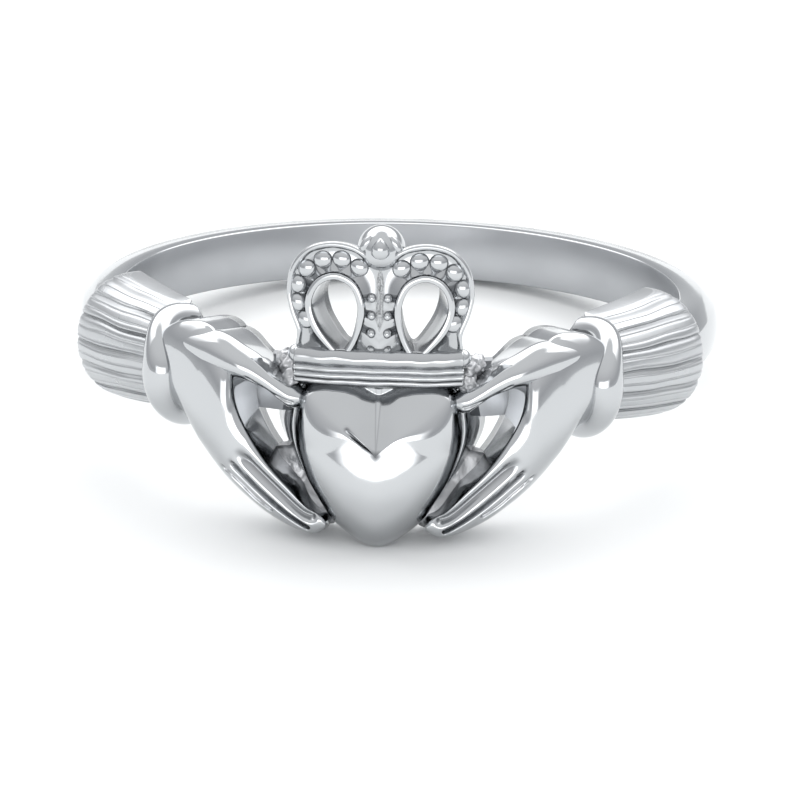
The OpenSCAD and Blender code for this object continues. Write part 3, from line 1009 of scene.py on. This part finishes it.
def cuff(ring, sign, count=240):
    """A cuff lofted from the roll to its far end, with its grooves cut."""
    near, far = cuff_ends(ring)
    rings = []
    for share, k, centre in open_line(CUFF_STEPS, 14):
        plain = near + (far - near) * share
        points = []
        for i in range(count + 1):
            t = math.radians(-90 + 180 * i / count)
            cut = 0.11 * cuff_groove(ring, plain, share, t, sign) * min(math.cos(t) * 3, 1)
            d = max(k * ring.cuff_depth * max(math.cos(t), 0) ** 0.8 - cut - 0.02, SLEEVE_BACK)
            s = plain + (1 - share) * (roll_at(ring, math.sin(t)) - near)
            points.append((sign * s, centre + k * ring.cuff_height / 2 * math.sin(t), d))
        back = [(*between(points[-1][:2], points[0][:2], q), SLEEVE_BACK)
                for q in (0.17, 0.34, 0.5, 0.66, 0.83)]
        rings.append([spot(*p) for p in points + back])
    return loft(rings)


class RING_OT_cuffs(PieceOperator, bpy.types.Operator):
    """Loft each pleated cuff and cut its uneven grooves"""

    bl_idname = "ring.cuffs"
    bl_label = "Cuffs"

    def execute(self, context):
        ring = sizes(context)
        if ring.cuff_angle <= ring.wrist_angle:
            raise ValueError("The cuffs have to end beyond the wrists")
        for side, sign in SIDES.items():
            keep(cuff(ring, sign), "cuff_" + side, pleated(ring), cuff_shade(ring, sign))
        return {"FINISHED"}


# Casting webs

# The web between fingertips and heart, in the hands' shares, and the middle it shrinks to in millimetres
WEB_LINE = [(0.3, -0.215), (0.12, -0.33), (-0.08, -0.4), (-0.32, -0.39), (-0.1, -0.2)]
WEB_MIDDLE = (2.8, -3.05)
# Columns: share of the web's size, d
WEB_STEPS = [(0.3, 0.03), (0.65, 0.03), (1, 0.03), (1, 0.4), (1, 0.75), (0.85, 0.78), (0.7, 0.8), (0.55, 0.8),
             (0.4, 0.8), (0.25, 0.8), (0.12, 0.8)]
# The lumps of metal beside the crown's foot: s, z, d, radius
LUMPS = [(2.86, 0.84, 1.45, 0.34), (2.74, 0.55, 1.75, 0.27), (3.15, 1.0, 1.2, 0.3)]


def web(ring, sign):
    """A rough web that rises towards the fingertips."""
    line = closed_line([(reach(ring, t), z * ring.head_height) for t, z in WEB_LINE], 12)
    flat = [[between(WEB_MIDDLE, p, k) for p in line] for k, _ in WEB_STEPS]
    bm = loft([[spot(sign * s, z, d) for s, z in points] for points, (_, d) in zip(flat, WEB_STEPS)])

    def rough(s, z, d):
        if d < 0.5:
            return s, z, d
        pits = 0.1 * grain((s, z, 0), 0.35, sign * 2.0) + 0.05 * grain((s, z, 0), 0.12, 6.0)
        return s, z, d + 0.4 * soft_step(-2.7, -3.6, z) + pits

    shape(bm, rough)
    return bm


def lump(s, z, d, radius, sign):
    """A lump of metal with a rough skin."""
    bm = bmesh.new()
    bmesh.ops.create_icosphere(bm, subdivisions=4, radius=1.0)
    for v in bm.verts:
        v.co *= radius * (1 + 0.3 * grain(v.co * radius + Vector((s * sign, z, 0)), 0.16, 2.0))
    bmesh.ops.translate(bm, vec=spot(sign * s, z, d), verts=bm.verts)
    return bm


class RING_OT_webs(PieceOperator, bpy.types.Operator):
    """Fill the corners that the casting left rough"""

    bl_idname = "ring.webs"
    bl_label = "Casting webs"

    def execute(self, context):
        ring = sizes(context)
        parts = []
        for sign in SIDES.values():
            parts.append(web(ring, sign))
            parts += [lump(*row, sign) for row in LUMPS]
        keep(joined(parts), "casting_webs", as_cast(), lambda s, z, d: 0.3)
        return {"FINISHED"}


# Stage

# Where the camera is, seen from the ring: degrees round it, above the ring's own plane and rolled,
# millimetres away, and how far the picture's middle lies from the band's middle
CAMERA_ROUND, CAMERA_ABOVE, CAMERA_ROLL = 3.2, 14.5, -1.09
CAMERA_AWAY, CAMERA_RIGHT, CAMERA_UP = 400, 0.030, -2.573
LENS_MM, SENSOR_MM = 581.5, 36.0
# The tent of white cloth round the ring: height, from 0 at the horizon to 1 overhead, and colour
TENT = [(0, "#DDDFE1"), (0.15, "#C6C8CB"), (0.4, "#E0E1E3"), (0.7, "#F4F5F6"), (1, "#FBFCFD")]
TENT_STRENGTH = 1.05
# The two soft lamps behind the cloth: side along Y, half width, lowest and highest place, strength
LAMPS = [(-1, 0.22, 0.06, 0.28, 3.0), (1, 0.55, 0.45, 0.85, 2.0)]


def add_floor(ring):
    """A sheet of matt white card."""
    bm = bmesh.new()
    bmesh.ops.create_grid(bm, x_segments=8, y_segments=8, size=1.5)
    mesh = mesh_of(bm, "floor")
    floor = placed("floor", mesh)
    card = bpy.data.materials.new("white_card")
    card.use_nodes = True
    shader = card.node_tree.nodes["Principled BSDF"]
    shader.inputs["Base Color"].default_value = ring.floor
    shader.inputs["Roughness"].default_value = 0.9
    mesh.materials.append(card)


def add_camera():
    """The camera, placed in the ring's frame and then laid down with the ring."""
    turn, above, roll = (math.radians(a) for a in (CAMERA_ROUND, CAMERA_ABOVE, CAMERA_ROLL))
    back = Vector((math.sin(turn) * math.cos(above), -math.cos(turn) * math.cos(above), math.sin(above)))
    level = Vector((math.cos(turn), math.sin(turn), 0))
    upright = back.cross(level)
    right = math.cos(roll) * level - math.sin(roll) * upright
    up = math.sin(roll) * level + math.cos(roll) * upright
    eye = CAMERA_AWAY * back + CAMERA_RIGHT * right + CAMERA_UP * up
    axes = Matrix.Rotation(-LEAN, 3, "X") @ Matrix((right, up, back)).transposed()
    lens = bpy.data.cameras.new("camera")
    lens.lens, lens.sensor_width, lens.clip_start = LENS_MM, SENSOR_MM, 0.01
    camera = placed("camera", lens)
    camera.matrix_world = Matrix.Translation(TO_TABLE @ eye) @ axes.to_4x4()
    bpy.context.scene.camera = camera


def lamp(tree, axes, side, wide, low, high, strength):
    """The strength of a lamp behind the cloth in each direction, faded at its edges."""
    across = add_node(tree, "ShaderNodeMath", {0: axes.outputs["X"]}, operation="ABSOLUTE").outputs[0]
    facing = add_node(tree, "ShaderNodeMath", {0: axes.outputs["Y"], 1: side}, operation="MULTIPLY")
    height, amount = axes.outputs["Z"], strength
    # What is measured, where the lamp is fully bright and how far beyond that it ends
    for value, full, fade in ((across, wide, 0.4), (height, high, 0.1), (height, low, -0.09),
                              (facing.outputs[0], 0.1, -0.1)):
        share = add_node(tree, "ShaderNodeMapRange",
                         {"Value": value, "From Min": full + fade, "From Max": full},
                         interpolation_type="SMOOTHSTEP").outputs["Result"]
        amount = add_node(tree, "ShaderNodeMath", {0: share, 1: amount}, operation="MULTIPLY").outputs[0]
    return amount


def hang_tent(ring):
    """The world: a tent of white cloth, darkest a little above the horizon, with two soft lamps."""
    world = bpy.data.worlds.new("studio")
    world.use_nodes = True
    bpy.context.scene.world = world
    tree = world.node_tree
    way = add_node(tree, "ShaderNodeTexCoord").outputs["Generated"]
    axes = add_node(tree, "ShaderNodeSeparateXYZ", {"Vector": way})
    ramp = add_node(tree, "ShaderNodeValToRGB", {"Fac": axes.outputs["Z"]})
    stops = ramp.color_ramp.elements
    stops[0].color, stops[1].color = linear(TENT[0][1]), linear(TENT[-1][1])
    for height, code in TENT[1:-1]:
        stops.new(height).color = linear(code)
    cloth = add_node(tree, "ShaderNodeBackground", {
        "Color": ramp.outputs["Color"], "Strength": TENT_STRENGTH})
    front, rear = (lamp(tree, axes, *row, strength * ring.light) for *row, strength in LAMPS)
    both = add_node(tree, "ShaderNodeMath", {0: front, 1: rear}, operation="ADD")
    lit = add_node(tree, "ShaderNodeBackground", {"Color": linear("#FFFFFF"), "Strength": both.outputs[0]})
    whole = add_node(tree, "ShaderNodeAddShader", {0: cloth.outputs[0], 1: lit.outputs[0]})
    tree.links.new(whole.outputs[0], tree.nodes["World Output"].inputs["Surface"])


class RING_OT_stage(PieceOperator, bpy.types.Operator):
    """Lay the floor, hang the soft lights and set the camera"""

    bl_idname = "ring.stage"
    bl_label = "Stage"

    def execute(self, context):
        ring = sizes(context)
        add_floor(ring)
        add_camera()
        hang_tent(ring)
        context.scene.view_settings.view_transform = "Standard"
        return {"FINISHED"}


class RING_PT_build(bpy.types.Panel):
    """Lists the ring's pieces in the order they are made"""

    bl_label = "Claddagh ring"
    bl_space_type = "VIEW_3D"
    bl_region_type = "UI"
    bl_category = "Ring"

    def draw(self, context):
        for piece in PIECES:
            self.layout.operator(piece.bl_idname)
        for name in RingBuild.__annotations__:
            self.layout.prop(context.scene.ring_build, name)


PIECES = (RING_OT_band, RING_OT_heart, RING_OT_crown, RING_OT_crown_foot, RING_OT_hands, RING_OT_rolls,
          RING_OT_cuffs, RING_OT_webs, RING_OT_stage)
CLASSES = (RingBuild,) + PIECES + (RING_PT_build,)


def register():
    for cls in CLASSES:
        bpy.utils.register_class(cls)
    bpy.types.Scene.ring_build = PointerProperty(type=RingBuild)


def unregister():
    del bpy.types.Scene.ring_build
    for cls in reversed(CLASSES):
        bpy.utils.unregister_class(cls)


def main():
    register()
    for piece in PIECES:
        group, name = piece.bl_idname.split(".")
        getattr(getattr(bpy.ops, group), name)()
    bpy.context.view_layer.update()


if __name__ == "__main__":
    main()
